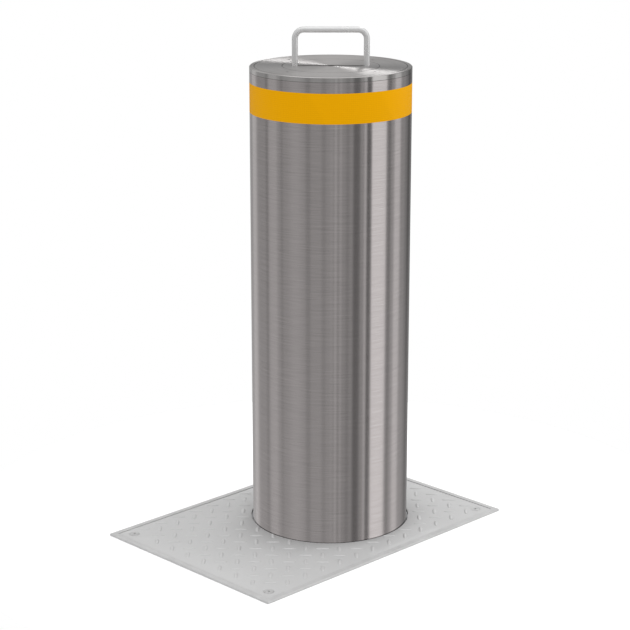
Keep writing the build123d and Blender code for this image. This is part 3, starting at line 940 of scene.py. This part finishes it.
@dataclass
class Cover:
    """The cover plate with its raised bars, in its frame."""

    finishes: Dict[Slot, bpy.types.Material]
    hole_radius: float = 139.5 * MM
    pitch: float = 40.3 * MM
    bar_length: float = 23.0 * MM
    bar_width: float = 6.4 * MM
    bar_height: float = 1.2 * MM
    bar_root: float = 0.3 * MM
    first: Tuple[float, float] = (-144.0 * MM, -126.5 * MM)
    screw_head: float = 8.0 * MM
    screw_seat: float = 8.9 * MM
    screw_hole: float = 4.3 * MM
    seat_depth: float = 4.0 * MM
    margin: float = 1.6 * MM
    edge: float = 0.5 * MM

    def build(self) -> None:
        """Makes the plate as a slab between its hole and its border, and lays the bars on it."""
        low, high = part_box("cover_plate")
        angles = spread_angles(low, high)
        hole = self.hole_radius * np.stack([np.cos(angles), np.sin(angles)], -1)
        border = rectangle_by_angle(low, high, angles)
        slab = between(hole, border, low.z, high.z, self.edge)
        piece = outward(slab.piece("tread_slab", 25.0))
        self.seat_screws(piece, low.z, high.z)
        settle(piece, Body.CASING, self.finishes[Slot.TREAD], Slot.TREAD, "cover_plate")
        bars = outward(self.bars(low, high).piece("tread_bars", 60.0))
        settle(bars, Body.CASING, self.finishes[Slot.TREAD], Slot.TREAD)

    def screw_places(self) -> List[Tuple[float, float]]:
        """Centres of the four cover screws, from the box round their heads."""
        low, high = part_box("cover_screws")
        head = self.screw_head
        rows = (low.y + head, high.y - head)
        return [(x, y) for x in (low.x + head, high.x - head) for y in rows]

    def seat_screws(self, piece: bpy.types.Object, bottom: float, top: float) -> None:
        """Cuts the conical seats of the four cover screws."""
        past = 1.0 * MM
        hole, rim = self.screw_hole, self.screw_seat
        profile = np.array([
            (0.0, bottom - past), (hole, bottom - past), (hole, top - self.seat_depth),
            (rim, top + 0.01 * MM), (rim, top + past), (0.0, top + past)])
        seat = lathe(profile, 32)
        seats = [Skin(seat.points + np.array([x, y, 0.0]), seat.faces)
                 for x, y in self.screw_places()]
        carve(piece, outward(Skin.joined(seats).piece("seat")), 25.0)

    def bars(self, low: Vector, high: Vector) -> Skin:
        """Raised bars in two crossed directions, kept clear of the border, the hole and the screws.

        Across the grid (s, t) from -1 to 1 a bar is L s / 2 long and W t w(s) / 2 wide, with
        w = (1 - s^4)^(1/2), and its height is H (1 - |t|^2.4) (1 - s^6).
        """
        single = self.bar_grid()
        skins: List[Skin] = []
        for offset, turn in ((0.0, 45.0), (0.5, -45.0)):
            for x, y in self.lattice(low, high, offset):
                skins.append(self.laid(single, x, y, turn, low, high))
        return Skin.joined(skin for skin in skins if skin is not None)

    def bar_grid(self) -> Skin:
        """One closed bar about the origin, along X, standing on Z = 0 with its root below it."""
        stations, across = 9, 7
        s = 0.99 * np.sin(np.linspace(-np.pi / 2, np.pi / 2, stations))[:, None]
        t = np.concatenate([np.linspace(-1.0, 1.0, across), [1.0, -1.0]])[None, :]
        x = s * self.bar_length / 2 + 0 * t
        y = t * np.sqrt(1 - s ** 4) * self.bar_width / 2
        z = self.bar_height * (1 - np.abs(t) ** 2.4) * (1 - s ** 6)
        z[:, across:] = -self.bar_root
        columns = across + 2
        faces = grid_faces(stations, columns, False, True)
        faces += [tuple(range(columns)), tuple(range((stations - 1) * columns, stations * columns))]
        return Skin(np.stack([x, y, z], -1).reshape(-1, 3), faces)

    def lattice(self, low: Vector, high: Vector, offset: float) -> List[Tuple[float, float]]:
        """Centres of one family of bars that fall on the plate or near its border."""
        reach = self.bar_length / 2
        xs = self.first[0] + (np.arange(-12, 16) + offset) * self.pitch
        ys = self.first[1] + (np.arange(-8, 16) + offset) * self.pitch
        xs = xs[(xs > low.x - reach * 0.5) & (xs < high.x + reach * 0.5)]
        ys = ys[(ys > low.y - reach * 0.5) & (ys < high.y + reach * 0.5)]
        return [(x, y) for x in xs for y in ys]

    def laid(self, bar: Skin, x: float, y: float, turn: float, low: Vector,
             high: Vector) -> Optional[Skin]:
        """A bar at its place, or nothing where the hole, the border or a screw is in its way."""
        c, s = math.cos(math.radians(turn)), math.sin(math.radians(turn))
        flat = bar.points[:, :2] @ np.array([[c, s], [-s, c]]) + np.array([x, y])
        distance = np.linalg.norm(flat, axis=1)
        inset = self.margin
        if math.hypot(x, y) < self.hole_radius + 2 * MM or self.near_screw(x, y):
            return None
        if (flat[:, 0].min() < low.x - inset or flat[:, 0].max() > high.x + inset
                or flat[:, 1].min() < low.y - inset or flat[:, 1].max() > high.y + inset):
            return None
        push = np.maximum(self.hole_radius + inset, distance) / distance
        flat = flat * push[:, None]
        flat[:, 0] = np.clip(flat[:, 0], low.x + inset, high.x - inset)
        flat[:, 1] = np.clip(flat[:, 1], low.y + inset, high.y - inset)
        points = np.column_stack([flat, bar.points[:, 2] + high.z])
        return Skin(points, bar.faces)

    def near_screw(self, x: float, y: float) -> bool:
        """True where a bar would lie over a screw's head."""
        reach = self.screw_head + self.bar_length * 0.42
        return any(math.hypot(x - sx, y - sy) < reach for sx, sy in self.screw_places())


@dataclass(frozen=True)
class Strip:
    """A soft light or a dark flag in the studio, as the tube sees it.

    Its angle is in degrees from the camera's side, to the right of the picture where positive.
    """

    angle: float
    half_width: float
    softness: float
    gain: float


@dataclass
class Studio:
    """Floor, light and camera.

    The gains are parts of the world's light. Angles are in degrees.
    """

    azimuth: float = -44.67
    elevation: float = 15.71
    distance: float = 3.35
    aim: Tuple[float, float, float] = (0.0594, 0.0976, 0.3397)
    lens: float = 106.58
    floor_radius: float = 0.66
    floor_inset: float = 4.0 * MM
    floor_drop: float = 0.2 * MM
    level: float = 0.31
    overhead: float = 0.85
    ambient: float = 1.5
    strips: Tuple[Strip, ...] = field(default_factory=lambda: (
        Strip(-164.0, 8.0, 4.0, 0.08), Strip(-140.0, 9.0, 4.0, 0.22),
        Strip(-103.0, 3.0, 1.4, -0.08), Strip(-91.0, 8.5, 2.0, 0.11),
        Strip(-74.0, 2.2, 1.2, -0.07), Strip(-52.0, 9.0, 5.0, 0.06),
        Strip(-32.5, 3.5, 1.5, -0.07), Strip(-10.0, 3.0, 1.8, -0.06),
        Strip(1.0, 2.0, 1.2, 0.04), Strip(7.0, 1.6, 0.6, 0.11),
        Strip(14.0, 1.6, 0.6, 0.09), Strip(24.0, 2.5, 1.5, -0.06),
        Strip(37.0, 5.0, 1.6, -0.16), Strip(50.0, 1.5, 0.4, 0.24),
        Strip(56.0, 3.1, 0.5, -0.20), Strip(73.0, 12.6, 0.6, 0.47),
        Strip(92.0, 3.0, 1.0, -0.13), Strip(110.0, 7.5, 2.4, 0.29),
        Strip(137.0, 5.0, 3.0, -0.09), Strip(149.0, 7.0, 3.0, -0.20),
        Strip(166.0, 7.0, 3.0, -0.12)))
    upper_gain: float = 0.12
    lower_gain: float = 0.10
    lamp_place: Tuple[float, float] = (163.5, 33.0)
    lamp_radius: float = 7.0
    lamp_softness: float = 1.5
    lamp_gain: float = 4.4
    key_place: Tuple[float, float] = (100.0, 38.0)
    key_distance: float = 3.2
    key_size: float = 1.6
    key_power: float = 20.0

    def build(self) -> None:
        """Sets floor, world, key light, camera and the plain display of colours."""
        bpy.context.scene.view_settings.view_transform = "Standard"
        self.floor()
        self.world()
        self.key_light()
        self.camera()

    def back(self, angle: float = 0.0, elevation: Optional[float] = None) -> Vector:
        """Unit vector from the object towards the camera, or turned from it to the right."""
        a = math.radians(self.azimuth + angle)
        e = math.radians(self.elevation if elevation is None else elevation)
        return Vector((math.sin(a) * math.cos(e), -math.cos(a) * math.cos(e), math.sin(e)))

    def floor(self) -> None:
        """Pale floor round the pit: a sheet from a rectangle under the frame to a wide circle."""
        low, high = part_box("cover_frame")
        inset = Vector((self.floor_inset, self.floor_inset, 0.0))
        angles = spread_angles(low + inset, high - inset)
        inner = rectangle_by_angle(low + inset, high - inset, angles)
        outer = self.floor_radius * np.stack([np.cos(angles), np.sin(angles)], -1)
        share = np.array([0.0, 0.12, 0.35, 1.0])[:, None, None]
        flat = inner[None] * (1 - share) + outer[None] * share
        points = np.concatenate([flat, np.full((*flat.shape[:2], 1), -self.floor_drop)], -1)
        skin = Skin(points.reshape(-1, 3), grid_faces(4, len(angles), False, True))
        made = skin.piece("studio_floor")
        material = bpy.data.materials.new("studio_floor")
        material.use_nodes = True
        graph = Graph(material.node_tree)
        speck = graph.noise(graph.place(), 300.0, 2.0)
        graph.principled(
            {"Base Color": graph.mix(speck, (0.86, 0.86, 0.86), (0.89, 0.89, 0.89))},
            {"Roughness": 0.9, "Specular IOR Level": 0.0})
        made.data.materials.append(material)
        made.visible_glossy = False

    def world(self) -> None:
        """White backdrop, even ambient light, and the strips that the polished steel reflects."""
        world = bpy.data.worlds.new("studio")
        world.use_nodes = True
        bpy.context.scene.world = world
        graph = Graph(world.node_tree)
        seen = self.reflected(graph)
        path = graph.node("ShaderNodeLightPath")
        diffuse = graph.out(path, "Is Diffuse Ray")
        camera = graph.out(path, "Is Camera Ray")
        shown = seen * (1.0 - diffuse) + diffuse * self.ambient
        final = shown * (1.0 - camera) + camera * 1.0
        background = graph.node("ShaderNodeBackground", None, {"Strength": final})
        background.inputs["Color"].default_value = (1.0, 1.0, 1.0, 1.0)
        output = graph.node("ShaderNodeOutputWorld")
        graph.tree.links.new(background.outputs[0], output.inputs["Surface"])

    def reflected(self, graph: Graph) -> Sock:
        """Light that polished steel sees, by direction.

        Strips stand round the object at every height. It is a little lighter above the horizon, and
        low down away from the strips that face the camera. One disc of light stands behind, and the
        sky overhead is even.

        Args:
            graph: the world's graph.

        Returns:
            The light's strength.
        """
        x, y, z = graph.axes(graph.place())
        ahead, right = self.back(0.0, 0.0), self.back(90.0, 0.0)
        angle = graph.math("ARCTAN2", x * right.x + y * right.y, x * ahead.x + y * ahead.y)
        degrees = angle * TO_DEGREES
        light: Sock = degrees * 0.0 + self.level
        for strip in self.strips:
            apart = (degrees - strip.angle).apply("ABSOLUTE")
            light = light + window(apart, strip.half_width, strip.softness) * strip.gain
        light = light + ((z - 0.12) * 6.0).clamped() * self.upper_gain
        beside = (((degrees - 30.0).apply("ABSOLUTE") - 18.0) / 24.0).clamped()
        light = light + ((z + 0.22) * (-1.0 / 0.15)).clamped() * beside * self.lower_gain
        lamp = self.back(*self.lamp_place)
        apart = (x * lamp.x + y * lamp.y + z * lamp.z).apply("ARCCOSINE") * TO_DEGREES
        light = light + window(apart, self.lamp_radius, self.lamp_softness) * self.lamp_gain
        above = ((z - 0.72) * 8.0).clamped()
        return light * (1.0 - above) + above * self.overhead

    def key_light(self) -> None:
        """One large soft light, high on the right."""
        data = bpy.data.lights.new("key", "AREA")
        data.shape, data.size, data.energy = "DISK", self.key_size, self.key_power
        made = bpy.data.objects.new("key", data)
        bpy.context.scene.collection.objects.link(made)
        away = self.back(*self.key_place)
        made.location = Vector(self.aim) + away * self.key_distance
        made.rotation_euler = away.to_track_quat("Z", "Y").to_euler()
        made.visible_glossy = False

    def camera(self) -> None:
        """Camera at the viewing angle, aimed near the middle of the post."""
        data = bpy.data.cameras.new("camera")
        data.lens, data.sensor_width = self.lens, 36.0
        data.clip_start, data.clip_end = 0.05, 60.0
        made = bpy.data.objects.new("camera", data)
        bpy.context.scene.collection.objects.link(made)
        made.location = Vector(self.aim) + self.back() * self.distance
        made.rotation_euler = self.back().to_track_quat("Z", "Y").to_euler()
        bpy.context.scene.camera = made


@dataclass
class Wardrobe:
    """Finishes of the nodes that the frame already shapes."""

    frame: Dict[str, Any]
    finishes: Dict[Slot, bpy.types.Material]

    def dress(self) -> None:
        """Gives each node the finish that its slot in the record names.

        What belongs to the casing is left out of reflections, like the floor, so that the strips of
        light run down to the foot of the post.
        """
        record = self.frame["record"]
        slot_of = {part["node"]: part["material_slot"] for part in record["subparts"]}
        ground = record["behaviour"]["bodies"][Body.CASING.value]
        for name, node in self.frame["nodes"].items():
            finish = self.finishes[Slot(slot_of[name])]
            for holder in node.material_slots:
                holder.material = finish
            if not node.material_slots:
                node.data.materials.append(finish)
            node.visible_glossy = name not in ground
        LOG.info("%d nodes dressed", len(slot_of))


def main() -> None:
    """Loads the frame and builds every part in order."""
    logging.basicConfig(level=logging.INFO, format="%(message)s")
    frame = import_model()
    finishes = {finish.slot: finish.build() for finish in FINISHES}
    Wardrobe(frame, finishes).dress()
    for part in (Post(finishes), Handle(finishes), Cover(finishes), Studio()):
        part.build()
        LOG.info("%s done", type(part).__name__)


if __name__ == "__main__":
    main()
